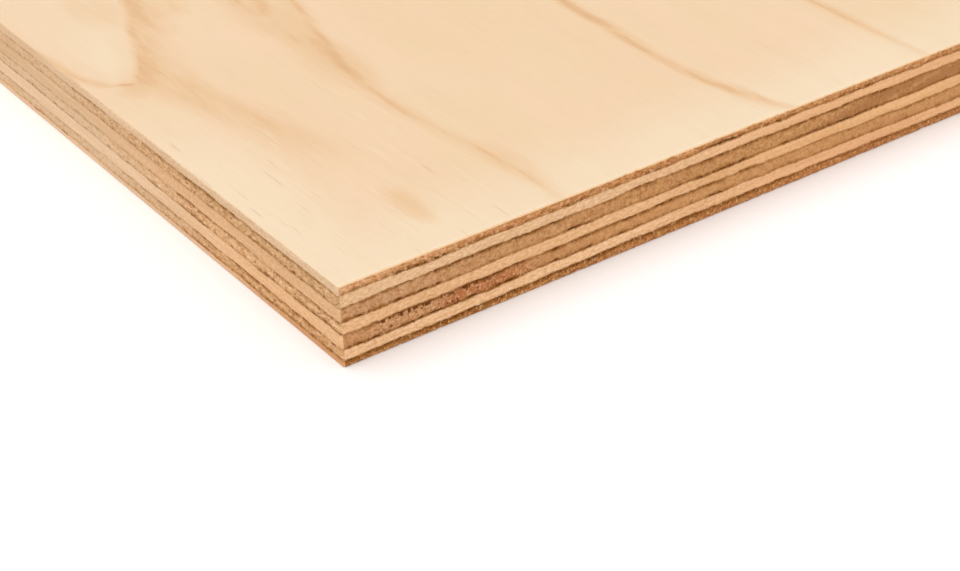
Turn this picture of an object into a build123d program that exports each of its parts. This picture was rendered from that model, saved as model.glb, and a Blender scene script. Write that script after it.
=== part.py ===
from build123d import *
import os

# Seven-ply pine plywood sheet, lying flat on its back face.
# The origin is the middle of the back face. +X runs along the sheet's length,
# which is also the grain of the face veneer, +Y across it and +Z up through the plies.
# All sizes are in millimetres.

# Sheet outline, as trimmed after pressing
sheet_length = 2440.0
sheet_width = 1220.0

# Veneer thicknesses
face_thickness = 1.6          # thinnest, because sanding takes some of it away
crossband_thickness = 2.5     # next to each outer veneer, grain across the sheet
core_thickness = 3.6          # next to each crossband, grain along the sheet
centre_thickness = 2.6        # in the middle, grain across the sheet
back_thickness = 1.6

# Edges as sawn and handled
corner_radius = 0.6           # the upright edge at each corner of every veneer
face_arris_radius = 0.25      # where the sanded face meets the sawn edges
back_arris_radius = 0.25      # the same on the back

# The lay-up from the floor up. It mirrors about the middle veneer, which keeps
# the sheet flat, and the grain of each veneer crosses that of its neighbours.
lay_up = [
    ("back_veneer", back_thickness),
    ("lower_crossband", crossband_thickness),
    ("lower_core", core_thickness),
    ("centre_crossband", centre_thickness),
    ("upper_core", core_thickness),
    ("upper_crossband", crossband_thickness),
    ("face_veneer", face_thickness),
]


def trimmed_veneer(thickness):
    """One veneer, underside at Z = 0, trimmed to the sheet with its corner edges worn round."""
    outline = RectangleRounded(sheet_length, sheet_width, corner_radius)
    return extrude(outline, amount=thickness)


def ease_rim(outer_face, radius):
    """The veneer that owns this face, with the whole rim of the face rounded off."""
    return fillet(outer_face.edges(), radius)


# Cut every veneer, then sand the two that end up outside
veneers = {name: trimmed_veneer(thickness) for name, thickness in lay_up}

face_side = veneers["face_veneer"].faces().sort_by(Axis.Z).last
veneers["face_veneer"] = ease_rim(face_side, face_arris_radius)

back_side = veneers["back_veneer"].faces().sort_by(Axis.Z).first
veneers["back_veneer"] = ease_rim(back_side, back_arris_radius)

# Stack them face to face, each on the one below, and write each as its own solid
os.makedirs("parts", exist_ok=True)
height = 0.0
for name, thickness in lay_up:
    seated = Pos(0, 0, height) * veneers[name]
    seated.label = name
    export_step(seated, f"parts/{name}.step")
    print(f"{name}: from {height:.1f} to {height + thickness:.1f} mm")
    height += thickness

print(f"sheet: {sheet_length:.0f} x {sheet_width:.0f} x {height:.1f} mm")
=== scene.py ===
# %% [markdown]
# A plywood sheet is seven thin veneers of pine, peeled from a log, glued one on the other
# and sawn square. It has almost no shape of its own, so a picture of it lives on its wood:
# the growth rings on the face, and on the sawn edges the turn about of smooth long grain
# and rough end grain with dark glue lines between.
#
# The sizes come from the measured model that is loaded here. The looks are built round it,
# veneer by veneer, and nothing in this file moves or resizes a veneer.

# %% Load the measured sheet
import math

import bpy
import numpy as np
from mathutils import Matrix, Vector
from mathutils.geometry import delaunay_2d_cdt


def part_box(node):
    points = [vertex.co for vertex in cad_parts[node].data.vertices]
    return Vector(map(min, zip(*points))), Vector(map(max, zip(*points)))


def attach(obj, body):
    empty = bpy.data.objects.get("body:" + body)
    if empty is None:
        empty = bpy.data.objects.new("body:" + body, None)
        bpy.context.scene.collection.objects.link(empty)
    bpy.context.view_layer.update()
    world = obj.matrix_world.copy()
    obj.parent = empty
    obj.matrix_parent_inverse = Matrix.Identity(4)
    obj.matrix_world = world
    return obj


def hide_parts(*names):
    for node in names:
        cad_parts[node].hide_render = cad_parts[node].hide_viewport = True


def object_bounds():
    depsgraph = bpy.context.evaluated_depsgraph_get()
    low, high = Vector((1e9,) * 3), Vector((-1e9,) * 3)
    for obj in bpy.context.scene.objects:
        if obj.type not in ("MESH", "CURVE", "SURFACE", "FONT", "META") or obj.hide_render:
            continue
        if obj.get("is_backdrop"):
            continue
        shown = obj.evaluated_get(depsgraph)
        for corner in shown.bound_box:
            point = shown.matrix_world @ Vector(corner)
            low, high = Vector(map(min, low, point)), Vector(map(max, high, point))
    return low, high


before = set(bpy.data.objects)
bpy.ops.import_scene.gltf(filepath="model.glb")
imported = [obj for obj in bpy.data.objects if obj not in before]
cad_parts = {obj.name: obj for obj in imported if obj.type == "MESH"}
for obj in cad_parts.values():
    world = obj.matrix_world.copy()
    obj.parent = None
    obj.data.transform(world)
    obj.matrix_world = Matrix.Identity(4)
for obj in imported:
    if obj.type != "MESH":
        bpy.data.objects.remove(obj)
cad_low, cad_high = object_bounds()
scene = bpy.context.scene

MM = 0.001
sheet_length, sheet_width, sheet_thickness = (cad_high - cad_low) / MM
print(f"sheet {sheet_length:.0f} x {sheet_width:.0f} x {sheet_thickness:.1f} mm")

# %% [markdown]
# The veneers are taken from the floor up. The grain turns a right angle from one to the
# next, and the outer ones run along the sheet, so every other veneer runs lengthwise.
# The seams between them are the glue lines: six inside, and the two outer faces.

# %% Read the lay-up
veneers = sorted(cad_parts, key=lambda name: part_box(name)[0].z)
seam_heights = [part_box(name)[0].z / MM for name in veneers] + [sheet_thickness]
for place, name in enumerate(veneers):
    grain = "lengthwise" if place % 2 == 0 else "crosswise"
    print(f"{name}: {seam_heights[place]:.1f} to {seam_heights[place + 1]:.1f} mm, {grain}")

# %% [markdown]
# The camera stands low over the near corner and looks along the sheet, with the far ends out
# of the picture. Its place is written from that corner, so it follows the sheet if the sheet
# changes. It could be aimed with a constraint, but a plain matrix built from its three axes
# also takes the small roll of a camera held by hand.

# %% Place the camera
near_corner = Vector((cad_high.x, cad_low.y, cad_low.z))
camera_offset = Vector((316.317, -176.875, 242.894)) * MM
camera_azimuth = math.radians(56.55)
camera_elevation = math.radians(31.996)
camera_roll = math.radians(-2.869)
camera_lens = 85.262

back = Vector((
    math.sin(camera_azimuth) * math.cos(camera_elevation),
    -math.cos(camera_azimuth) * math.cos(camera_elevation),
    math.sin(camera_elevation),
))
level = Vector((math.cos(camera_azimuth), math.sin(camera_azimuth), 0))
upward = back.cross(level)
right = level * math.cos(camera_roll) + upward * math.sin(camera_roll)
up = upward * math.cos(camera_roll) - level * math.sin(camera_roll)

camera = bpy.data.objects.new("camera", bpy.data.cameras.new("camera"))
camera.data.lens = camera_lens
camera.data.sensor_width = 36
camera.data.clip_start = 0.01
turn = Matrix((right, up, back)).transposed()
camera.matrix_world = Matrix.Translation(near_corner + camera_offset) @ turn.to_4x4()
scene.collection.objects.link(camera)
scene.camera = camera
print(f"camera {camera_offset.length:.2f} m from the corner, {camera_lens:.0f} mm lens")

# %% [markdown]
# Shader maths reads best as plain formulas. The class below wraps one output of a node, and
# Python's own signs then add the Math nodes: `1 - mask * 0.5` becomes two of them. Everything
# that isn't arithmetic on numbers comes from one method, which takes the kind of node, its
# settings and what goes into its sockets.

# %% Wires and the finish they belong to
class Wire:
    """One output socket that can be used in a formula."""

    def __init__(self, finish, socket):
        self.finish, self.socket = finish, socket

    def __add__(self, other):
        return self.finish.maths("ADD", self, other)

    def __sub__(self, other):
        return self.finish.maths("SUBTRACT", self, other)

    def __rsub__(self, other):
        return self.finish.maths("SUBTRACT", other, self)

    def __mul__(self, other):
        return self.finish.maths("MULTIPLY", self, other)

    def __truediv__(self, other):
        return self.finish.maths("DIVIDE", self, other)

    def __rtruediv__(self, other):
        return self.finish.maths("DIVIDE", other, self)

    def __pow__(self, other):
        return self.finish.maths("POWER", self, other)

    def __abs__(self):
        return self.finish.maths("ABSOLUTE", self)

    __radd__ = __add__
    __rmul__ = __mul__


class Finish:
    """The nodes of a new material, or of the world, while they are being wired."""

    def __init__(self, owner):
        owner.use_nodes = True
        self.owner = owner
        self.nodes, self.links = owner.node_tree.nodes, owner.node_tree.links
        self.nodes.clear()

    def node(self, kind, settings=None, inputs=None, output=0):
        """Add a node: settings first, then its sockets, each a Wire or a plain value."""
        made = self.nodes.new(kind)
        for key, value in (settings or {}).items():
            if key == "curve":
                self.set_curve(made.mapping, value)
            else:
                setattr(made, key, value)
        for key, value in (inputs or {}).items():
            if isinstance(value, Wire):
                self.links.new(value.socket, made.inputs[key])
            else:
                made.inputs[key].default_value = value
        return Wire(self, made.outputs[output]) if made.outputs else None

    def set_curve(self, mapping, points):
        """Lay a float curve through these points."""
        curve = mapping.curves[0]
        while len(curve.points) < len(points):
            curve.points.new(0.5, 0.5)
        for handle, place in zip(curve.points, points):
            handle.location = place
        mapping.update()

    def maths(self, operation, *values):
        """A Math node over wires and numbers."""
        return self.node("ShaderNodeMath", {"operation": operation}, dict(enumerate(values)))

    def mix(self, a, b, amount, blend="MIX"):
        """Blend two colours by an amount, or in another way that the Mix node knows."""
        settings = {"data_type": "RGBA", "blend_type": blend, "clamp_factor": True}
        return self.node("ShaderNodeMix", settings, {"Factor": amount, 6: a, 7: b}, 2)

    def shade(self, colour, lift):
        """Lighten a wood colour by a share, or darken it: darker wood is redder, and never greyer."""
        shares = {0: lift * 0.7 + 1, 1: lift + 1, 2: lift * 1.5 + 1}
        return self.mix(colour, self.node("ShaderNodeCombineColor", None, shares), 1.0, "MULTIPLY")

    def step(self, value, low, high, slope="SMOOTHSTEP"):
        """Rise smoothly from 0 at low to 1 at high. With low above high it falls instead."""
        return self.node("ShaderNodeMapRange", {"interpolation_type": slope}, {0: value, 1: low, 2: high})

    def ramp(self, value, low, high):
        """The same with an even slope."""
        return self.step(value, low, high, "LINEAR")

# %% [markdown]
# Wood is one pattern at many scales, and each scale is a stretched noise: long in the grain
# direction and short across it. Positions are turned into millimetres first, so that every
# size below can be read as a real one.

# %% Positions and stretched noise
def position_mm(finish):
    """X, Y and Z of the surface in millimetres, in the sheet's own frame."""
    place = finish.node("ShaderNodeTexCoord", None, None, "Object")
    scaled = finish.node("ShaderNodeVectorMath", {"operation": "SCALE"}, {0: place, "Scale": 1 / MM})
    return [finish.node("ShaderNodeSeparateXYZ", None, {0: scaled}, axis) for axis in "XYZ"]


def noise(finish, place, size, seed=0.0, detail=2.0, rough=0.5):
    """Noise from about -1 to 1 over one, two or three axes, with blobs of these sizes in mm."""
    x, y, z = (*place, 0.0, 0.0)[:3]
    length, width, height = (*size, 1, 1)[:3]
    at = finish.node("ShaderNodeCombineXYZ", None, {
        0: x * (1 / length) + seed, 1: y * (1 / width) + seed * 1.7, 2: z * (1 / height),
    })
    raw = finish.node("ShaderNodeTexNoise", {"noise_dimensions": "3D"}, {
        "Vector": at, "Scale": 1.0, "Detail": detail, "Roughness": rough,
    })
    return raw * 4 - 2


def srgb(red, green, blue):
    """A colour as it is seen on a screen, turned into light values for a shader."""
    def linear(c):
        c /= 255
        return c / 12.92 if c <= 0.04045 else ((c + 0.055) / 1.055) ** 2.4
    return (linear(red), linear(green), linear(blue), 1.0)

print("shader tools ready")

# %% [markdown]
# The edges are where a quick stand-in gives itself away. A saw leaves long grain nearly
# smooth, but it tears end grain, and along a glue line it opens small gaps that catch shade.
# That relief is real shape here: each veneer is a closed mesh whose edge walls are pushed
# inwards, never outwards, from the measured outline. It could be a bump on a plain box, but
# then the silhouette and the shadows in the gaps would be missing.
#
# First comes a noise on plain arrays, for moving vertices. It looks up a seeded table of random
# numbers and eases between them.

# %% Noise for vertices
def rough_field(u, v, seed):
    """Smooth noise from -1 to 1 with one blob per unit. u and v are arrays or numbers."""
    columns, rows = 4096, 64
    table = np.random.default_rng(seed).uniform(-1, 1, (columns, rows))
    u0, v0 = np.floor(u).astype(int), np.floor(v).astype(int)
    fu, fv = u - u0, v - v0
    fu, fv = fu * fu * (3 - 2 * fu), fv * fv * (3 - 2 * fv)
    u1, v1 = (u0 + 1) % columns, (v0 + 1) % rows
    u0, v0 = u0 % columns, v0 % rows
    low = table[u0, v0] * (1 - fu) + table[u1, v0] * fu
    high = table[u0, v1] * (1 - fu) + table[u1, v1] * fu
    return low * (1 - fv) + high * fv


def ease(value, low, high):
    """Rise smoothly from 0 at low to 1 at high."""
    k = np.clip((value - low) / (high - low), 0, 1)
    return k * k * (3 - 2 * k)

# %% [markdown]
# The outline is walked once round the sheet and used by all seven veneers, so that they stay
# flush. Points stand a quarter of a millimetre apart near the corner that is seen close to, and
# spread out along the rest, where a finer mesh would only cost memory.

# %% Walk round the outline
corner_radius = 0.6
close_up = 190.0        # how far from the near corner the mesh is at its finest
fine_step = 0.25
coarse_step = 8.0
step_growth = 1.04
far_side_starts = 3000.0    # the far sides count on from here, so that no pattern repeats


def stations(total):
    """Distances along one side, close together near its start."""
    found = list(np.arange(corner_radius, close_up, fine_step))
    step = fine_step
    while found[-1] + step * 1.5 < total - corner_radius:
        step = min(coarse_step, step * step_growth)
        found.append(found[-1] + step)
    found[-1] = total - corner_radius
    return np.array(found)


def even_stations(total):
    """Distances along one of the far sides, evenly spread."""
    return np.linspace(corner_radius, total - corner_radius, round(total / coarse_step))


half_length, half_width = sheet_length / 2, sheet_width / 2
# Each side: where it starts, its direction, its outward normal, and distances along it.
# The first and the last are the two that meet at the near corner.
sides = [
    ((half_length, -half_width), (0, 1), (1, 0), stations(sheet_width)),
    ((half_length, half_width), (-1, 0), (0, 1), even_stations(sheet_length)),
    ((-half_length, half_width), (0, -1), (-1, 0), even_stations(sheet_width)),
    ((-half_length, -half_width), (1, 0), (0, -1), sheet_length - stations(sheet_length)[::-1]),
]

outline, normals, spacing = [], [], []
for (start_x, start_y), (dx, dy), (nx, ny), distances in sides:
    for distance, gap in zip(distances, np.gradient(distances)):
        outline.append((start_x + dx * distance, start_y + dy * distance))
        normals.append((nx, ny))
        spacing.append(gap)
    centre_x = outline[-1][0] - nx * corner_radius
    centre_y = outline[-1][1] - ny * corner_radius
    for share in (0.25, 0.5, 0.75):
        across, ahead = math.cos(share * math.pi / 2), math.sin(share * math.pi / 2)
        normal_x, normal_y = nx * across + dx * ahead, ny * across + dy * ahead
        outline.append((centre_x + normal_x * corner_radius, centre_y + normal_y * corner_radius))
        normals.append((normal_x, normal_y))
        spacing.append(spacing[-1])
outline, normals, spacing = np.array(outline), np.array(normals), np.array(spacing)

from_short_edge = half_length - outline[:, 0]     # 0 on the right-hand end
from_long_edge = half_width + outline[:, 1]       # 0 on the front edge
faces_end = np.abs(normals[:, 0]) > np.abs(normals[:, 1])
along_edge = np.where(faces_end, from_long_edge, from_short_edge)
far_side = np.where(faces_end, outline[:, 0] < 0, outline[:, 1] > 0)
along_edge = along_edge + far_side * far_side_starts
fine = np.clip(1.2 * fine_step / spacing, 0, 1)
from_corner = np.hypot(half_length - np.abs(outline[:, 0]), half_width - np.abs(outline[:, 1]))
deepest_cut = 0.12 + 0.3 * np.clip(from_corner - corner_radius, 0, 3)     # less near a corner
print(f"{len(outline)} points round the outline, {np.sum(fine > 0.9)} of them fine")

# %% [markdown]
# Pressed veneers are never quite flat: their seams wander up and down by a fraction of a
# millimetre. Near the corner each seam has its own height at the corner, at a low crest
# further along the short edge, and beyond it; elsewhere it wanders at random. The outer
# faces stay flat, and well inside the sheet the seams go back to their measured heights.

# %% Let the seams wander
crest_at, beyond_at = 95.0, 160.0
# How far each inner seam lies off its measured height, from the floor up, in millimetres.
seam_rise = [
    # corner, crest, beyond
    (-0.24, 0.62, 0.34),
    (-0.14, 0.80, 0.17),
    (-0.43, 0.40, -0.08),
    (-0.20, 0.18, -0.08),
    (-0.58, 0.05, 0.08),
    (-0.42, 0.07, -0.03),
]
wander = 0.28
wander_length = 70.0
waver = 0.15            # a finer wobble, only where the mesh is fine enough to hold it
waver_length = 5.0
flat_inside = 14.0


def seam_height(seam, x, y):
    """Height of a seam at x and y, in millimetres. Seam 0 is the underside."""
    base = np.full(np.shape(x), float(seam_heights[seam]))
    if seam == 0 or seam == len(veneers):
        return base
    s, t = half_length - x, half_width + y
    at_corner, at_crest, beyond = seam_rise[seam - 1]
    local = at_corner + (at_crest - at_corner) * ease(t, 0, crest_at)
    local = local + (beyond - at_crest) * ease(t, crest_at, beyond_at)
    free = wander * (rough_field(s / wander_length, t / wander_length, 40 + seam)
                     + 0.4 * rough_field(s / 19, t / 19, 60 + seam))
    near = 1 - ease(np.maximum(s, t), beyond_at, 2 * beyond_at)
    fidget = waver * rough_field(s / waver_length, t / waver_length, 70 + seam) * near
    inside = np.minimum(half_length - np.abs(x), half_width - np.abs(y))
    lift = local * near + free * (1 - 0.7 * near) + fidget
    return base + lift * (1 - ease(inside, 1, flat_inside))


for seam in range(1, len(veneers)):
    heights = seam_height(seam, outline[:, 0], outline[:, 1])
    print(f"seam {seam}: {heights.min():.2f} to {heights.max():.2f} mm")

# %% [markdown]
# Where the glue didn't take, or the saw pulled a bundle of fibres out, the seam shows a dark
# run. The longest runs near the corner are listed one by one, and the rest is left to chance.

# %% Choose where the seams have opened
# Runs on the short edge and on the long edge: seam, start, end (mm from the corner), how open.
open_runs = {
    "short": [
        (6, 13, 25, 0.9), (6, 54, 57, 0.7), (6, 76, 80, 0.7), (6, 90, 100, 0.8), (6, 107, 113, 0.6),
        (6, 126, 136, 0.6), (5, 1, 15, 0.6), (5, 21, 38, 1.0), (5, 39, 53, 0.9), (5, 70, 76, 0.8),
        (5, 84, 142, 0.7), (4, 0, 26, 0.6), (4, 54, 60, 0.7), (4, 85, 103, 0.9), (4, 110, 141, 0.7),
        (3, 5, 25, 0.6), (3, 26, 43, 0.8), (3, 47, 53, 1.0), (3, 54, 94, 0.75), (3, 98, 103, 0.9),
        (2, 0, 42, 0.8), (2, 50, 61, 0.6), (2, 66, 72, 0.8), (2, 90, 95, 0.8), (1, 0, 90, 0.95),
        (1, 90, 112, 0.7), (1, 112, 160, 0.3),
    ],
    "long": [
        (6, 2, 38, 0.8), (6, 38, 62, 0.95), (6, 64, 78, 0.6), (6, 82, 84, 1.0), (6, 96, 112, 0.6),
        (5, 5, 35, 0.45), (4, 0, 15, 0.75), (4, 17, 25, 0.75), (4, 32, 50, 0.6), (4, 50, 65, 0.95),
        (4, 98, 113, 0.5), (3, 0, 18, 0.65), (3, 23, 33, 0.6), (3, 53, 64, 0.95), (3, 73, 78, 0.7),
        (2, 6, 25, 0.75), (2, 27, 42, 0.95), (2, 48, 58, 0.7), (2, 67, 87, 0.5), (1, 0, 42, 0.7),
        (1, 48, 65, 0.8), (1, 82, 88, 0.6),
    ],
}
chance_of_opening = 0.35
print(f"{sum(map(len, open_runs.values()))} open runs placed by hand")


def seam_openness(seam, at_end, along):
    """How open a seam is along the edge, 0 to 1."""
    spread = rough_field(along / 11.0, seam * 3.0 + at_end, 80)
    by_chance = chance_of_opening * ease(spread, -0.4, 0.7)
    placed = np.zeros(along.shape)
    for run_seam, start, end, how in open_runs["short" if at_end else "long"]:
        if run_seam == seam:
            inside = ease(along, start - 2, start + 2) * (1 - ease(along, end - 2, end + 2))
            placed = np.maximum(placed, how * inside)
    near = 1 - ease(along, beyond_at, beyond_at + 40)
    return np.where(near > 0, np.maximum(placed * near, by_chance * (1 - 0.8 * near)), by_chance)

# %% [markdown]
# Now the relief of one edge wall. `low` and `high` are the distances to the seams below and
# above. End grain gets a broken surface with torn pits, and one reddish stretch that the saw
# has torn deeper; long grain gets faint ripples that run along it.

# %% Relief of the sawn edges
torn_veneer = veneers.index("lower_core")
torn_from, torn_to = 24.0, 43.0         # its torn stretch on the short edge
gap_height = 0.24
gap_depth = 0.3


def edge_relief(place, at_end, along, low, high, fine):
    """Depth of the wall below the sawn plane, and how gaped it is, for one veneer."""
    end_grain = at_end == (place % 2 == 0)
    seed = 100 + 10 * place + at_end
    gap = np.zeros(low.shape)
    for seam, distance in ((place, low), (place + 1, high)):
        if 0 < seam < len(veneers):
            bead = 0.4 * rough_field(along / 3.1, 7, seed + seam)
            bead = bead + rough_field(along / 0.9, 3, seed + seam)
            width = ease(seam_openness(seam, at_end, along) + 0.7 * bead, 0.6, 1.2)
            height = gap_height * np.maximum(0.9 + 0.5 * bead, 0.3) * (1.0 if end_grain else 0.4)
            width = width * (1.0 if at_end else 0.5)
            gap = np.maximum(gap, width * (1 - ease(distance, 0.3 * height, 1.1 * height)))
    if end_grain:
        rough = 0.5 + 0.5 * rough_field(along / 0.9, (low + 5) / 0.7, seed + 3)
        torn = ease(rough_field(along / 1.3, (low + 5) / 0.9, seed + 4), 0.4, 0.95)
        depth = 0.09 * rough + 0.24 * torn
        if place == torn_veneer and at_end:
            stretch = ease(along, torn_from - 3, torn_from + 2) * (1 - ease(along, torn_to - 2, torn_to + 3))
            ragged = ease(rough_field(along / 1.3, (low + 5) / 1.6, seed + 5), -0.1, 0.6)
            depth = depth + 0.3 * stretch * ragged
            gap = np.maximum(gap, 0.7 * stretch * ease(ragged, 0.6, 1.0) * ease(high, 1.4, 0.5))
    else:
        depth = 0.02 * (1 + rough_field(along / 14.0, (low + 5) / 0.8, seed + 3))
    depth = depth + gap_depth * gap
    return depth * fine, gap * fine

# %% [markdown]
# Each veneer's walls are a grid: columns follow the outline, rows climb from seam to seam and
# crowd together near the seams. Where the face and the back meet the walls, the arris is worn
# round in a few more rows, and it is chipped here and there.

# %% Rows of a wall
rows_per_mm = 4.2
arris_radius = 0.25
arris_angles = np.radians([0, 25, 50, 70, 90])


def climb(share):
    """Crowd the rows of a wall towards its two seams."""
    return share - 0.6 * np.sin(2 * np.pi * share) / (2 * np.pi)


def arris_wear(on_face):
    """How far an arris is worn at each column, as a multiple of its radius: most on end grain."""
    chips = 0.35 * ease(rough_field(along_edge / 1.5, on_face, 90), 0.1, 0.9)
    chips = chips + 0.5 * ease(rough_field(along_edge / 0.6, on_face, 91), 0.2, 0.9)
    amount = np.where(faces_end, 0.9, 0.4) * fine * np.clip((from_corner - 1.0) / 3, 0, 1)
    return 1 + chips * (amount * (1.0 if on_face else 0.15))


def wall_rows(place, room):
    """Heights of the rows above the lower seam, and how far each is set back at an arris."""
    under = arris_radius * arris_wear(0) if place == 0 else 0.0
    over = arris_radius * arris_wear(1) if place == len(veneers) - 1 else 0.0
    count = max(7, int(np.mean(room) * rows_per_mm))
    heights = under + climb(np.linspace(0, 1, count))[:, None] * (room - under - over)
    setback = np.zeros(heights.shape)
    if place == 0:
        turned = arris_angles[:0:-1, None]
        heights = np.vstack([under * (1 - np.sin(turned)), heights])
        setback = np.vstack([under * (1 - np.cos(turned)), setback])
    if place == len(veneers) - 1:
        turned = arris_angles[1:, None]
        heights = np.vstack([heights, room - over * (1 - np.sin(turned))])
        setback = np.vstack([setback, over * (1 - np.cos(turned))])
    return heights, setback

# %% [markdown]
# The two big faces of a veneer are closed by a Delaunay triangulation. It joins the thousands of
# points on the outline to a few inner ones, with no need to lay rings of faces by hand and
# without long slivers along the edge.

# %% Close a big face
inner_columns, inner_rows = 33, 17      # of the wide grid well inside the sheet


def inner_points():
    """Points inside the outline: two rings of outline points drawn in, and a wide grid."""
    found = []
    for inset, spread in ((2.5, 1.5), (flat_inside + 1, 9.0)):
        limit = np.array([half_length - inset, half_width - inset])
        drawn_in = np.clip(outline, -limit, limit)
        ring = [drawn_in[0]]
        for point in drawn_in:
            if np.hypot(*(point - ring[-1])) > spread:
                ring.append(point)
        found += ring[:-1]
    reach = flat_inside + 30
    for x in np.linspace(-half_length + reach, half_length - reach, inner_columns):
        for y in np.linspace(-half_width + reach, half_width - reach, inner_rows):
            found.append(np.array([x, y]))
    return np.array(found)


inside_points = inner_points()
print(f"{len(inside_points)} points inside the outline")


def close_face(rim, seam, upward):
    """Triangles between a rim of vertices and the inner points: new vertices and faces."""
    points = [Vector(p[:2]) for p in rim] + [Vector(p) for p in inside_points]
    made = delaunay_2d_cdt(points, [], [list(range(len(rim)))], 1, 1e-5)
    origin = [sources[0] if sources else None for sources in made[3]]
    if None in origin or len(origin) != len(points):
        raise ValueError(f"the rim of a veneer crosses itself {origin.count(None)} times")
    triangles = [[origin[i] for i in face] for face in made[2]]
    if not upward:
        triangles = [t[::-1] for t in triangles]
    z = seam_height(seam, inside_points[:, 0], inside_points[:, 1])
    return np.column_stack([inside_points, z]), triangles

# %% [markdown]
# The glue film has to follow each seam wherever it wanders, so the walls tell the finish where
# they are. Six numbers ride with every wall vertex: the distance along the edge, to the seam
# below and to the seam above, how deep a gap is, and how open those two seams are there. They
# could be worked out again in the shader, but the shape and the colour would then drift apart.

# %% Shape the walls of a veneer
wall_numbers = ("along", "low", "high", "gap", "open_below", "open_above")


def shape_walls(place):
    """Points of a veneer's walls, row by row, and the six numbers that ride with them."""
    x, y = outline.T
    floor, roof = seam_height(place, x, y), seam_height(place + 1, x, y)
    heights, setback = wall_rows(place, roof - floor)
    low, high = heights, (roof - floor) - heights
    depth, gap, open_below, open_above = np.zeros((4, *heights.shape))
    for at_end in (True, False):
        part = faces_end == at_end
        along = along_edge[part]
        made = edge_relief(place, at_end, along, low[:, part], high[:, part], fine[part])
        depth[:, part], gap[:, part] = made
        for seam, openness in ((place, open_below), (place + 1, open_above)):
            if 0 < seam < len(veneers):
                openness[:, part] = seam_openness(seam, at_end, along)
    inward = np.minimum(depth, deepest_cut) + setback
    sunk = [x - normals[:, 0] * inward, y - normals[:, 1] * inward, floor + heights]
    print(f"{veneers[place]}: walls of {len(heights)} rows, deepest {depth.max():.2f} mm")
    carried = (np.tile(along_edge, (len(heights), 1)), low, high, gap, open_below, open_above)
    return np.stack(sunk, axis=2), dict(zip(wall_numbers, carried))

# %% Build the veneers
crease = math.radians(50)       # sharper turns than this stay sharp


def build_veneer(place, name):
    """The closed mesh of one veneer. Its slots: under face, end walls, side walls, upper face."""
    walls, carried = shape_walls(place)
    rows, columns = walls.shape[:2]
    index = np.arange(rows * columns).reshape(rows, columns)
    ahead = np.roll(index, -1, axis=1)
    quads = np.stack([index[:-1], ahead[:-1], ahead[1:], index[1:]], axis=2).reshape(-1, 4)
    end_wall = np.tile(faces_end & np.roll(faces_end, -1), rows - 1)

    under_points, under_faces = close_face(walls[0], place, False)
    over_points, over_faces = close_face(walls[-1], place + 1, True)
    # A cap counts its rim first and then its own points: both become numbers in the whole mesh.
    lower_own = np.arange(len(under_points)) + index.size
    upper_own = np.arange(len(over_points)) + index.size + len(under_points)
    under = np.concatenate([index[0], lower_own])[np.array(under_faces)].tolist()
    over = np.concatenate([index[-1], upper_own])[np.array(over_faces)].tolist()

    mesh = bpy.data.meshes.new(name)
    vertices = np.vstack([walls.reshape(-1, 3), under_points, over_points]) * MM
    mesh.from_pydata(vertices.tolist(), [], quads.tolist() + under + over)
    slots = np.concatenate([np.where(end_wall, 1, 2), [0] * len(under), [3] * len(over)])
    mesh.polygons.foreach_set("material_index", slots.astype(np.int32))
    for label, values in carried.items():
        values = np.concatenate([values.ravel(), np.zeros(len(vertices) - index.size)])
        mesh.attributes.new(label, "FLOAT", "POINT").data.foreach_set("value", values)
    mesh.shade_smooth()
    mesh.set_sharp_from_angle(angle=crease)
    piece = bpy.data.objects.new(name, mesh)
    scene.collection.objects.link(piece)
    print(f"{name}: {len(quads) * 2 + len(under) + len(over)} triangles")
    return piece


pieces = {node: build_veneer(place, f"{node}_wood") for place, node in enumerate(veneers)}

# %% [markdown]
# The sanded face is the calm part of the sheet. A veneer peeled from a log cuts its growth rings
# at a grazing angle, so the rings spread into wide soft bands: cream where a year's growth
# starts, warmer as it goes on, tan at its end, and then a sharp line. The few bands nearest to
# the corner follow lines of their own, each a curve through a handful of points; they could be
# painted, but a line with soft skirts stays sharp at any distance and can be moved by a number.

# %% Lines listed point by point near the corner
# Each line is a list of points: distance from the short edge, distance from the long edge.
second_line = [(0, 52.5), (17, 53), (30, 51.8), (45, 50), (58, 49), (74, 50), (85, 52), (100, 55.6),
               (115, 59), (150, 62), (200, 60), (310, 66), (420, 80)]
third_line = [(0, 113.8), (7, 111), (14, 109.2), (24, 107.5), (42, 107), (61, 107.8), (74, 108),
              (130, 110), (200, 112), (420, 122)]
fourth_line = [(0, 152), (36, 152), (80, 153), (200, 156), (420, 168)]
loop_upper = [(0, 5), (90, 9.5), (100, 11.2), (104, 13), (108, 15.1), (112, 17), (124, 21.6),
              (141, 28), (160, 33), (200, 40), (310, 48), (420, 52)]
loop_lower = [(0, 16), (90, 13.5), (100, 11.2), (103, 5.6), (110, 2.2), (118, 0.6), (200, -3),
              (420, -6)]
streak_line = [(0, 30), (30, 28.5), (45, 26.8), (60, 24), (80, 19.5), (95, 15), (110, 14),
               (200, 20), (420, 20)]
lines_reach = 420.0     # where the lines end, going along the sheet
lines_low, lines_high = -20.0, 180.0    # what a line's curve can hold, going across it


def line_through(finish, s, points):
    """Distance from the long edge of a hand-laid line, at distance s from the short edge."""
    span = lines_high - lines_low
    curve = [(a / lines_reach, (b - lines_low) / span) for a, b in points]
    inputs = {"Factor": 1.0, "Value": s * (1 / lines_reach)}
    return finish.node("ShaderNodeFloatCurve", {"curve": curve}, inputs) * span + lines_low

# %% [markdown]
# A growth ring seldom ends in a plain stripe. Its darkest part is a thin line, with a softer
# skirt on each side, and here and there the wood holds more resin and shows a stain. They could
# be brush strokes in a painted picture. Here each is a soft step over a distance, so that it can
# be moved, and the strengths of them all are simply added up.

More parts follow.
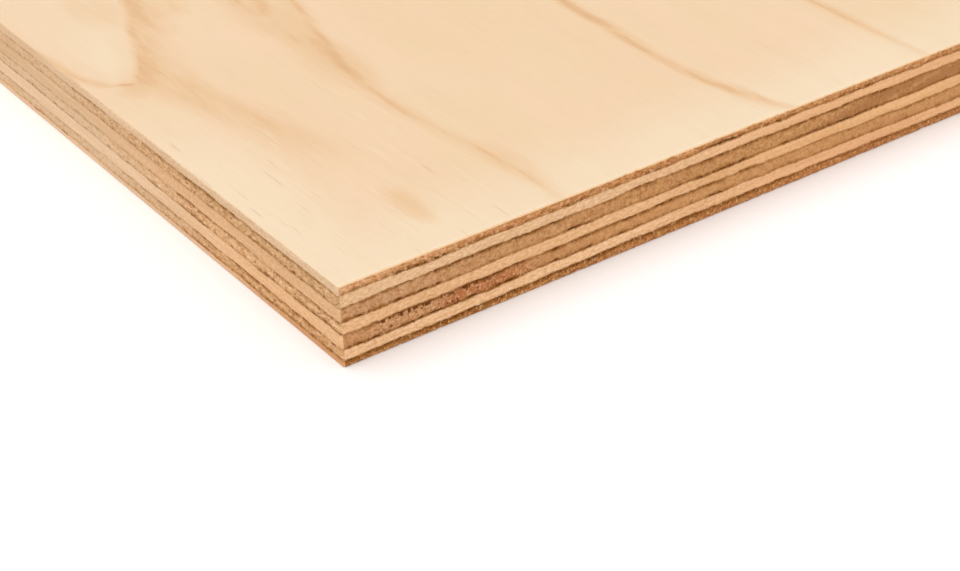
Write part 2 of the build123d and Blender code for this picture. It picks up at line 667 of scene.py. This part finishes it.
# %% Soft bands and stains
# Soft oval stains: middle (from the short edge, from the long edge), half-axes, strength.
stains = [
    ((18, 28), (11, 4), 0.6), ((121, 50.5), (12, 4.5), 0.65), ((82, 50), (22, 8.5), 0.55),
    ((113, 50.5), (25, 9), 0.6), ((19, 53.5), (15, 5), 0.4), ((10, 110), (12, 4), 0.2),
    ((60, 100), (45, 9), 0.08), ((112, 24), (12, 5), 0.3), ((124, 29), (9, 5), 0.3),
    ((97, 20.5), (15, 5), 0.32), ((92, 80), (44, 24), 0.16), ((135, 34), (12, 8), 0.7),
    ((142, 20), (16, 7), 0.42),
]
print(f"{len(stains)} stains laid by hand")


def blot(finish, s, t, middle, size):
    """A soft oval stain, 1 in its middle."""
    far = ((s - middle[0]) / size[0]) ** 2 + ((t - middle[1]) / size[1]) ** 2
    return finish.step(far, 1.0, 0.0)


def soft_band(finish, off, above, below, core):
    """A ring's end: a darker line with a skirt on each side. off is the distance from the line."""
    skirts = finish.step(off, above, 0.0) * finish.step(off, -below, 0.0)
    return skirts * 0.62 + finish.step(abs(off), core, 0.1) * 0.5

# %% Growth bands near the corner
def ring_ends(finish, s, bent, lines):
    """How tan the three listed lines are."""
    second, third, fourth = lines
    inward = finish.step(s, 4, 34)      # the lines fade out towards the short edge
    dim = finish.step(s, 60, 76) * finish.step(s, 112, 98) * 0.32
    tan = soft_band(finish, bent - second, 3.6, 4.6, 1.5) * (0.34 + inward * 0.4 - dim)
    tan = tan + soft_band(finish, bent - third, 3.0, 3.2, 2.3) * (0.55 + inward * 0.62)
    fourth_band = soft_band(finish, bent - fourth, 2.8, 2.8, 1.8) * 0.74
    return tan + fourth_band * (0.5 + finish.step(s, 8, 30) * 0.55)


def corner_bands(finish, s, t, place, lines):
    """How tan and how cream the face is near the corner."""
    upper = lines[0]
    lower, middle = line_through(finish, s, loop_lower), line_through(finish, s, streak_line)
    ragged = noise(finish, place, (17, 4.5, 50), 3.0, 2.0)
    brushed = noise(finish, place, (13, 0.8, 50), 5.0, 1.0)
    bent = t + ragged * 0.55 + brushed * 0.3
    patchy = 1 + noise(finish, place, (26, 4, 50), 9.0, 3.0, 0.65) * 0.6

    inside = finish.maths("MINIMUM", upper - bent, bent - lower)
    rim = finish.step(inside, -10.5, 0.2) ** 1.2 * finish.step(inside, 2.2, -0.3)
    rim = rim * finish.step(bent - lower, -3.0, 1.0) * finish.step(s, 93, 106)
    tip = blot(finish, s, bent, (98, 8.5), (7, 4)) * 0.45
    streak = finish.step(abs(bent - middle), 8.5, 0.5) * finish.step(s, 32, 64) * finish.step(s, 112, 96)
    tan = ring_ends(finish, s, bent, lines[1:])
    tan = tan + rim * (1 - finish.step(s, 126, 138) * 0.35) + tip + streak * 0.76
    for at, size, strength in stains:
        tan = tan + blot(finish, s, bent, at, size) * strength

    loop_cream = finish.step(inside, -0.2, 9.0) * (0.7 - finish.step(s, 100, 145) * 0.36)
    rim_cream = finish.step(s, 29, 2) * 0.75
    low_cream = finish.step(t, 24, 4) * finish.step(s, 100, 50) * 0.8
    cream = finish.maths("MAXIMUM", loop_cream, finish.maths("MAXIMUM", rim_cream, low_cream))
    return tan * patchy, cream

# %% [markdown]
# Away from the corner the rings come from one field, a count of rings that grows across the sheet
# and is bent by slow noise, long in the grain direction. A ring ends wherever the count is whole.
# Where the bend runs against the climb, the rings close into the flames and islands that make
# rotary-cut pine easy to recognise. Beside the corner the count is one that is whole on the
# listed lines, and the two counts are blended: the lines then run on into the sheet unbroken.

# %% Rings over the whole sheet
ring_spacing = 46.0
# The bend: size of the blobs along, across and through the wood, and how many millimetres it moves.
bend = [((1150, 300, 900), 88.0), ((430, 130, 500), 20.0), ((120, 44, 300), 3.6), ((15, 3, 50), 0.7)]
fourth_at = 156.0       # where the fourth line enters the open sheet
print(f"rings about {ring_spacing:.0f} mm apart on the open sheet")


def hand_laid_count(finish, t, lines):
    """A ring count that is whole on each listed line."""
    loop, second, third, fourth = lines
    inside_loop = finish.maths("MAXIMUM", loop - t, 0.0) / 80
    past_fourth = finish.maths("MAXIMUM", t - fourth, 0.0) / ring_spacing
    dip = finish.ramp(t, loop, loop + 8) * finish.ramp(t, second, second - 8)
    count = finish.ramp(t, second, third) + finish.ramp(t, third, fourth)
    return count + inside_loop + past_fourth - dip * 0.5


def open_count(finish, across, place):
    """The ring count of the open sheet."""
    count = (across - fourth_at) / ring_spacing + 2
    for number, (size, amount) in enumerate(bend):
        count = count + noise(finish, place, size, 11.0 + 5 * number, 1.0) * (amount / ring_spacing)
    return count


def ring_bands(finish, count, place):
    """How tan and how cream the wood is at a ring count. Each ring has a strength of its own."""
    ring = finish.maths("FRACT", count)
    year = finish.maths("FLOOR", count)
    vigour = finish.node("ShaderNodeTexWhiteNoise", {"noise_dimensions": "1D"}, {"W": year})
    late = finish.step(ring, 0.56, 0.985) ** 1.7 * finish.step(ring, 1.0, 0.97)
    line = finish.step(ring, 0.93, 0.975) * finish.step(ring, 1.0, 0.975)
    fade = 0.7 + noise(finish, place, (300, 60, 300), 31.0, 1.0) * 0.4
    tan = (late * 0.62 + line * 0.36) * fade * (0.55 + vigour * 0.65)
    cream = finish.step(ring, 0.5, 0.08) * finish.step(ring, 0.0, 0.07)
    return tan, cream * (0.32 + noise(finish, place, (420, 90, 300), 33.0, 1.0) * 0.25)

# %% [markdown]
# Colour comes last: a warm ground, cream laid over it, tan over that, and fine fibres, pores and
# checks that are only seen close to. The fibres also set the roughness and a shallow bump.

# %% Colours of the wood
# Warm ground, straw where it is yellower, cream early wood, tan late wood, and its darkest.
face_colours = (srgb(243, 209, 173), srgb(239, 210, 168), srgb(246, 223, 190), srgb(234, 192, 145),
                srgb(220, 172, 122))
glue_brown, glue_and_gap_shade_dark = srgb(138, 82, 4), srgb(108, 56, 2)
pit_brown, late_brown, scratch_brown = srgb(128, 78, 36), srgb(160, 102, 54), srgb(196, 156, 108)
rust, torn_red, torn_pale = srgb(206, 131, 78), srgb(178, 94, 42), srgb(244, 198, 150)
# The pale colour of a painted highlight along the face veneer's top arris.
painted_arris_highlight = srgb(250, 210, 162)


def close_finish(finish, colour, rough, height_mm):
    """End a finish with its shader: colour, roughness and a bump whose height is in millimetres."""
    bump = finish.node("ShaderNodeBump", None, {"Height": height_mm, "Distance": MM})
    shader = finish.node("ShaderNodeBsdfPrincipled", None, {
        "Base Color": colour, "Roughness": rough, "Normal": bump, "Specular IOR Level": 0.3,
    })
    finish.node("ShaderNodeOutputMaterial", None, {"Surface": shader})
    return finish.owner

# %% Bands and sanding marks in colour
def band_colour(finish, place, tan, cream):
    """The colour of the wood under the sanding marks, and its slow mottle."""
    warm, straw, cream_colour, tan_colour, deep_colour = face_colours
    mottle = noise(finish, place, (60, 22, 60), 17.0, 3.0)
    blush = noise(finish, place, (34, 12, 60), 43.0, 2.0)
    slow = noise(finish, place, (800, 170, 400), 47.0, 1.0)
    ground = finish.mix(warm, straw, blush * 0.5 + 0.35 + slow * 0.4)
    colour = finish.mix(ground, cream_colour, cream + mottle * 0.16)
    colour = finish.mix(colour, tan_colour, tan)
    return finish.mix(colour, deep_colour, (tan - 0.8) * 1.1), mottle


def sanding_marks(finish, colour, place, close, rim):
    """Fibres, pores and scratches. close is where scratches always show, rim where a painted highlight makes
    the face paler.
    """
    sweep = noise(finish, place, (150, 7, 60), 19.0, 2.0)
    fibre = noise(finish, place, (38, 0.55, 40), 23.0, 3.0, 0.6)
    pore = finish.step(noise(finish, place, (7.5, 0.32, 40), 29.0, 1.0), 0.62, 0.95)
    zone = finish.step(noise(finish, place, (120, 40, 60), 37.0, 1.0), 0.0, 0.8) * 0.6
    zone = finish.maths("MAXIMUM", zone, close)
    scratch = noise(finish, place, (14, 0.75, 40), 41.0, 1.0)
    check = finish.step(scratch, 0.68, 1.15) * zone
    colour = finish.mix(colour, scratch_brown, check * 0.28)
    colour = finish.mix(colour, face_colours[2], finish.step(scratch, -0.6, -1.0) * zone * 0.5)
    # rim lifts the face by a painted highlight along the short edge's arris.
    colour = finish.shade(colour, fibre * 0.018 + sweep * 0.012 - pore * 0.03 + rim * 0.035)
    return colour, fibre, pore, check

# %% The sanded face
def sanded_finish(name, lengthwise=True, corner=False, glued=False, seed=0.0):
    """A veneer's big face: sanded where it shows, and stained by glue inside the sheet."""
    finish = Finish(bpy.data.materials.new(name))
    x, y, z = position_mm(finish)
    along, across = (x, y) if lengthwise else (y, x)
    place = (along + seed * 97, across + seed * 53, z + seed * 400)
    s, t = half_length - x, y + half_width
    count = open_count(finish, t if corner else across, place)
    close, rim = 0.0, 0.0
    if corner:
        far = finish.maths("MAXIMUM", s, t)
        hand_laid = (loop_upper, second_line, third_line, fourth_line)
        lines = [line_through(finish, s, points) for points in hand_laid]
        beside = hand_laid_count(finish, t, lines)
        count = beside + (count - beside) * finish.step(far, 190, 620)
        close = finish.step(s, 95, 60) * finish.step(t, 58, 40)
        # Along the short edge's arris the face gets a painted highlight.
        rim = finish.step(s, 1.7, 0.7)
    tan, cream = ring_bands(finish, count, place)
    if corner:
        near_tan, near_cream = corner_bands(finish, s, t, place, lines)
        near = finish.step(far, 290, 175)
        tan = tan + (near_tan - tan) * near
        cream = cream + (near_cream - cream) * near

    colour, mottle = band_colour(finish, place, tan, cream)
    colour, fibre, pore, check = sanding_marks(finish, colour, place, close, rim)
    if glued:
        from_edge = finish.maths("MINIMUM", half_length - abs(x), half_width - abs(y))
        stain = finish.step(from_edge, 6, 2.5) * 0.6 + 0.3 + mottle * 0.15
        colour = finish.mix(colour, glue_brown, stain)
    rough = 0.56 + fibre * 0.05 - tan * 0.06 + check * 0.2
    height = fibre * 0.008 - pore * 0.02 - check * 0.02 + tan * 0.01
    return close_finish(finish, colour, rough, height)

# %% [markdown]
# The sawn edges need two finishes that meet at every corner. Long grain is the side view of the
# fibres: pale and even, with faint lines along it. End grain is a cut through them: browner,
# brushed with short upright strokes of open cells. Glue shows as a dark film along each seam,
# wider where the seam has opened, and the gaps cut in the walls are darkened further by painted
# shade. All of it reads the numbers that ride with the walls, so the film stays on its seam
# wherever that wanders.

# %% What both kinds of edge share
fade_reach = 35.0       # how far before and after its middle the tint beside the corner gives way


def edge_reading(finish):
    """The six numbers that ride with the walls, in the order of wall_numbers."""
    return [finish.node("ShaderNodeAttribute", {"attribute_name": key}, None, "Fac") for key in wall_numbers]


def glue_film(finish, colour, reading, glued, film, seed, teeth=0.0):
    """Darken the wall along its glued seams with glue, and its gaps with painted shade. film holds the four
    numbers of film_on, further down.
    """
    along, low, high, gap, open_below, open_above = reading
    width, least, near_depth, left = film
    depth = (finish.step(along, 40, 95) * (left - 1) + 1) * near_depth
    # gap darkens the wall in glue colour: partly glue, and partly painted shade over the gap's real shade.
    dark, drops = gap * 0.8, finish.maths("MAXIMUM", gap, teeth)
    for number, (distance, openness) in enumerate([(low, open_below), (high, open_above)]):
        if glued[number]:
            bead = noise(finish, [along], [2.0], seed + 5 * number, 2.0, 0.7)
            wide = finish.maths("MAXIMUM", (0.85 + openness * 0.35 + bead * 0.45) * width, 0.02)
            shown = finish.step(openness * 0.7 + bead, -0.3, 1.1) * (1 - least) + least
            dark = finish.maths("MAXIMUM", dark, finish.step(distance, wide, 0.0) * shown)
            drop = finish.step(noise(finish, [along], [0.8], seed + 7 * number, 1.0), 0.2, 0.7)
            drop = drop * finish.step(distance, width * 0.85, width * 0.3) * (openness * 0.8 + 0.2)
            drops = finish.maths("MAXIMUM", drops, drop)
    colour = finish.mix(finish.shade(colour, dark * -0.25), glue_brown, dark * depth)
    # The dark drops are glue beads, and where there is a gap they are also painted shade.
    return finish.mix(colour, glue_and_gap_shade_dark, drops * (depth * 0.5 + 0.5))

# %% Long grain on the sawn edges
def long_grain_finish(name, tints, glued, film, flecks, seed):
    """The side of the fibres: lines that run along the wall, over flecks and soft clouds."""
    finish = Finish(bpy.data.materials.new(name))
    reading = edge_reading(finish)
    along, low = reading[:2]
    wall = (along, low)
    line = noise(finish, wall, (20, 0.45), seed, 3.0, 0.55)
    sweep = noise(finish, wall, (26, 2.0), seed + 3, 2.0)
    fleck = noise(finish, wall, (1.1, 0.5), seed + 5, 2.0, 0.7)
    cloud = noise(finish, wall, (4.2, 1.5), seed + 7, 2.0)
    near = finish.step(along, tints[2] + fade_reach, tints[2] - fade_reach)
    lively = near * 0.5 + 0.5
    colour = finish.mix(tints[1], tints[0], near)
    grain = line * 0.09 + sweep * 0.08 + (fleck * 1.15 + cloud * 0.2) * lively * flecks
    colour = finish.shade(colour, grain)
    colour = glue_film(finish, colour, reading, glued, film, seed + 9)
    return close_finish(finish, colour, 0.7 + line * 0.04, line * 0.012 + fleck * 0.01)

# %% [markdown]
# End grain differs from veneer to veneer. The cores show upright strokes, the crossbands lean
# theirs and are smoother further off, and the two outer veneers are broken short. So the same
# recipe reads a small set of numbers for each kind of veneer.

# %% Cells and torn wood of end grain
# How the cells of a cut show: size of a blotch and of a stroke (mm along, mm up), how far the stroke
# leans, their strength, the size of a pit, how many pits near the corner and further off, how lively
# it is further off, and its rust.
core_cells = {"blotch": (1.4, 1.2), "stroke": (0.9, 2.2), "lean": 0.3, "strength": 0.34,
              "pit": (0.8, 0.9), "pits": (0.45, 0.2), "far": 0.65, "rust": 0.35}
outer_cells = {"blotch": (1.3, 1.0), "stroke": (1.0, 0.9), "lean": 0.0, "strength": 0.48,
               "pit": (0.9, 0.7), "pits": (0.5, 0.55), "far": 1.1, "rust": 0.6}
crossband_cells = {"blotch": (2.0, 0.9), "stroke": (1.0, 2.0), "lean": 1.3, "strength": 0.4,
                   "pit": (1.4, 1.0), "pits": (0.62, 0.2), "far": 0.35, "rust": 0.4}


def late_patch(finish, colour, along, low, patch):
    """A darker stretch where the cut runs through late wood, with slanted ends."""
    start, end, lean = patch
    slid = along + (low - 1.8) * lean
    inside = finish.step(slid, start - 6, start + 4) * finish.step(slid, end + 5, end - 4)
    return finish.mix(colour, late_brown, inside * 0.6)


def torn_stretch(finish, colour, reading, seed):
    """Reddish torn wood with pale splinters, and the dark teeth that hang from the seam above."""
    along, low, high = reading[:3]
    wall = (along - low * 0.3, low)
    reach = finish.step(along, 3, 10) * finish.step(along, torn_to + 8, torn_to)
    stretch = finish.step(along, torn_from - 4, torn_from + 3) * finish.step(along, torn_to + 3, torn_to - 3)
    cloud = finish.step(noise(finish, wall, (1.4, 1.2), seed, 2.0, 0.7), -0.9, 0.3)
    colour = finish.mix(colour, torn_red, stretch * cloud * 0.7)
    splinter = finish.step(noise(finish, wall, (0.5, 0.8), seed + 1, 1.0), 0.1, 0.6)
    colour = finish.mix(colour, torn_pale, splinter * reach * 0.48)
    crowd = finish.step(abs(along - 16), 4.5, 1.5)      # where the teeth are largest
    drop = noise(finish, [along], [2.6], seed + 2, 1.0) * 0.45 + 0.55
    drop = drop + stretch * 0.3 + crowd * 0.45
    tooth = noise(finish, [along], [0.65], seed + 3, 1.0) + crowd * 0.1
    tooth = finish.step(tooth, -0.1, 0.3) * finish.step(high, drop + 0.3, drop - 0.1)
    tooth = tooth * finish.step(along, 39, 31)
    pocket = finish.step(noise(finish, wall, (0.8, 0.7), seed + 4, 1.0), 0.5, 0.8)
    return colour, finish.maths("MAXIMUM", tooth * 1.15, pocket) * reach


def outer_splinters(finish, colour, wall, width, seed):
    """Pale broken fibres of a width in mm, as on the two outer veneers."""
    splinter = finish.step(noise(finish, wall, (width, 0.9), seed, 1.5, 0.6), 0.25, 0.7)
    return finish.mix(colour, torn_pale, splinter * 0.5)

# %% End grain on the sawn edges
def end_grain_finish(name, tints, glued, film, cells, seed, patches=(), torn=False):
    """A cut through the fibres: strokes of open cells, rusty clumps and pits."""
    finish = Finish(bpy.data.materials.new(name))
    reading = edge_reading(finish)
    along, low = reading[:2]
    wall, leaning = (along, low), (along + low * cells["lean"], low)
    far = finish.step(along, tints[2] - fade_reach, tints[2] + fade_reach)
    lively = 1 - far * (1 - cells["far"])
    drift = noise(finish, wall, (18, 5.0), seed, 2.0)
    clump = noise(finish, wall, (3.0, 1.8), seed + 1, 2.0, 0.6)
    blotch = noise(finish, wall, cells["blotch"], seed + 3, 1.0, 0.6)
    stroke = noise(finish, leaning, cells["stroke"], seed + 4, 2.0, 0.7) * 0.45 + blotch * 0.6
    grit = noise(finish, wall, (0.55, 0.6), seed + 5, 1.0)
    colour = finish.mix(tints[0], tints[1], far)
    grain = drift * 0.08 + (clump * 0.16 + (stroke + grit * 0.7) * cells["strength"]) * lively
    colour = finish.shade(colour, grain + 0.02)
    rusty = finish.step(noise(finish, wall, (2.2, 1.1), seed + 2, 2.0, 0.7), 0.1, 0.9)
    colour = finish.mix(colour, rust, rusty * cells["rust"])
    for patch in patches:
        colour = late_patch(finish, colour, along, low, patch)
    pit = finish.step(noise(finish, leaning, cells["pit"], seed + 6, 1.5, 0.6), 0.25, 0.85)
    pits_near, pits_far = cells["pits"]
    pit = pit * (far * (pits_far - pits_near) + pits_near)
    colour = finish.mix(colour, pit_brown, pit)
    colour, teeth = torn_stretch(finish, colour, reading, seed + 20) if torn else (colour, 0.0)
    colour = glue_film(finish, colour, reading, glued, film, seed + 9, teeth)
    if not all(glued):
        colour = outer_splinters(finish, colour, wall, 1.2 if glued[0] else 0.6, seed + 30)
    # A painted highlight along the top arris of the face veneer's end grain.
    if not glued[1]:
        colour = finish.mix(colour, painted_arris_highlight, finish.step(reading[2], 0.38, 0.06) * 0.9)
    return close_finish(finish, colour, 0.86 + stroke * 0.05, stroke * 0.05 - pit * 0.1)

# %% [markdown]
# Seven veneers share the same few recipes, and differ in tint. Each has a finish for its big
# faces, one for the walls that face along the sheet and one for those that face across it. Which
# wall is end grain follows from the grain. The outer veneers have glue on one side only, and a
# sanded finish on the other.

# %% Tints of the seven veneers
# From the floor up: near the corner, further off, and how far along one gives way to the other.
end_grain_tints = [
    (srgb(186, 125, 67), srgb(184, 122, 67), 85),
    (srgb(215, 165, 114), srgb(220, 184, 144), 66),
    (srgb(198, 142, 94), srgb(204, 147, 93), 42),
    (srgb(225, 176, 127), srgb(220, 184, 144), 80),
    (srgb(201, 149, 103), srgb(198, 142, 88), 40),
    (srgb(212, 166, 117), srgb(219, 180, 139), 95),
    (srgb(218, 160, 110), srgb(196, 133, 79), 20),
]
long_grain_tints = [
    # The back veneer is darker near the corner partly from its own wood and partly from a painted contact
    # shadow that fades out along the edge.
    (srgb(217, 159, 108), srgb(235, 194, 155), 46),
    (srgb(243, 194, 146), srgb(237, 180, 129), 95),
    (srgb(233, 183, 134), srgb(233, 197, 158), 58),
    (srgb(234, 182, 132), srgb(236, 181, 126), 95),
    (srgb(224, 176, 128), srgb(222, 182, 140), 85),
    (srgb(233, 187, 141), srgb(238, 182, 131), 90),
    (srgb(224, 186, 146), srgb(224, 187, 148), 85),
]

# %% Settle how the veneers differ
# The glue film on each kind of wall: its width in mm, its least show, its depth, and the share of
# that depth which is left away from the corner.
film_on = {
    ("end grain", "short"): (0.88, 0.38, 0.88, 1.0),
    ("long grain", "short"): (0.46, 0.3, 0.8, 1.0),
    ("end grain", "long"): (0.95, 0.22, 0.62, 0.65),
    ("long grain", "long"): (0.3, 0.15, 0.6, 0.65),
}
flecks_on = {"short": 0.27, "long": 0.19}
# What single veneers have of their own: the upper core was cut through late wood in two places,
# and the end grain of the back veneer took up more glue.
own_cells = {
    "back_veneer": {"strength": 0.66, "pit": (0.6, 0.6), "pits": (0.9, 0.35), "far": 0.8},
    "centre_crossband": {"far": 0.25},
    "upper_core": {"far": 1.0, "pits": (0.5, 0.4)},
}
own_film = {"back_veneer": (1.1, 0.5, 0.95, 1.0)}
late_patches = {"upper_core": [(128, 146, -6.0), (152, 220, -6.0)]}
glued_faces = {
    True: sanded_finish("glued_lengthwise", glued=True, seed=2.0),
    False: sanded_finish("glued_crosswise", lengthwise=False, glued=True, seed=3.0),
}
top = len(veneers) - 1
print(f"{len(own_cells)} veneers have end grain of their own kind")

# %% Give every veneer its finishes
def wall_finishes(place, node):
    """The finishes of the walls on the short edge and on the long edge."""
    glued = (place > 0, place < top)
    lengthwise = place % 2 == 0
    end_on, long_on = ("short", "long") if lengthwise else ("long", "short")
    cells = crossband_cells if not lengthwise else core_cells if all(glued) else outer_cells
    cells = {**cells, **own_cells.get(node, {})}
    end = end_grain_finish(
        f"{node}_end_grain", end_grain_tints[place], glued, own_film.get(node, film_on["end grain", end_on]),
        cells, 3.0 + place, late_patches.get(node, ()), place == torn_veneer)
    side = long_grain_finish(
        f"{node}_long_grain", long_grain_tints[place], glued, film_on["long grain", long_on],
        flecks_on[long_on], 13.0 + place)
    return (end, side) if lengthwise else (side, end)


for place, node in enumerate(veneers):
    inner = glued_faces[place % 2 == 0]
    under = sanded_finish("back_sanded", seed=5.0) if place == 0 else inner
    over = sanded_finish("face_sanded", corner=True) if place == top else inner
    piece = pieces[node]
    for material in (under, *wall_finishes(place, node), over):
        piece.data.materials.append(material)
    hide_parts(node)
    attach(piece, "root")
print(f"{len(bpy.data.materials)} finishes")

# %% [markdown]
# A plain pale floor and soft light: a broad sun nearly overhead, a lower one from the side of the
# near corner, and an even white sky. The camera and the sheen of the wood see the sky as pure
# white. As a lamp it is weaker, so that a colour shows about as it is written. The camera also
# sees the floor a little whiter than it is, and only the sheet's own shadow marks it.

# %% Floor and sky
floor_reach = 40.0
floor_drop = 0.0001     # keeps it clear of the back veneer
floor_mesh = bpy.data.meshes.new("studio_floor")
corners = [(-1, -1), (1, -1), (1, 1), (-1, 1)]
corners = [(x * floor_reach, y * floor_reach, -floor_drop) for x, y in corners]
floor_mesh.from_pydata(corners, [], [(0, 1, 2, 3)])
floor = bpy.data.objects.new("studio_floor", floor_mesh)
scene.collection.objects.link(floor)
paper = Finish(bpy.data.materials.new("studio_paper"))
seen = paper.node("ShaderNodeLightPath", None, None, "Is Camera Ray")
paper_colour = paper.mix(srgb(246, 245, 244), (1.08, 1.08, 1.08, 1), seen)
shader = paper.node("ShaderNodeBsdfDiffuse", None, {"Color": paper_colour})
paper.node("ShaderNodeOutputMaterial", None, {"Surface": shader})
floor_mesh.materials.append(paper.owner)
floor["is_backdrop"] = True

sky_strength = 0.62
world = bpy.data.worlds.new("studio_sky")
scene.world = world
sky = Finish(world)
seen = sky.node("ShaderNodeLightPath", None, None, "Is Camera Ray")
glossy = sky.node("ShaderNodeLightPath", None, None, "Is Glossy Ray")
strength = sky.maths("MAXIMUM", seen, glossy) * (1 - sky_strength) + sky_strength
light = sky.node("ShaderNodeBackground", None, {"Color": (1, 1, 1, 1), "Strength": strength})
sky.node("ShaderNodeOutputWorld", None, {"Surface": light})

# %% Soft lamps
def soft_sun(name, energy, spread, tilt_x, tilt_y):
    """A sun lamp as broad as a studio cloth. The tilts are degrees away from straight overhead."""
    lamp = bpy.data.objects.new(name, bpy.data.lights.new(name, "SUN"))
    lamp.data.energy = energy
    lamp.data.angle = math.radians(spread)
    lamp.rotation_euler = (math.radians(tilt_x), math.radians(tilt_y), 0)
    scene.collection.objects.link(lamp)
    print(f"{name}: strength {energy}, {spread} degrees wide")


soft_sun("overhead_cloth", 0.98, 55, 14, -8)
soft_sun("front_cloth", 0.8, 70, 35, 62)
scene.view_settings.view_transform = "Standard"

# %% Compare the box and finish
low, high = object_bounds()
departures = [abs(a - b) for box, cad in ((low, cad_low), (high, cad_high)) for a, b in zip(box, cad)]
print(f"largest departure from the measured box {max(departures) / MM:.4f} mm")
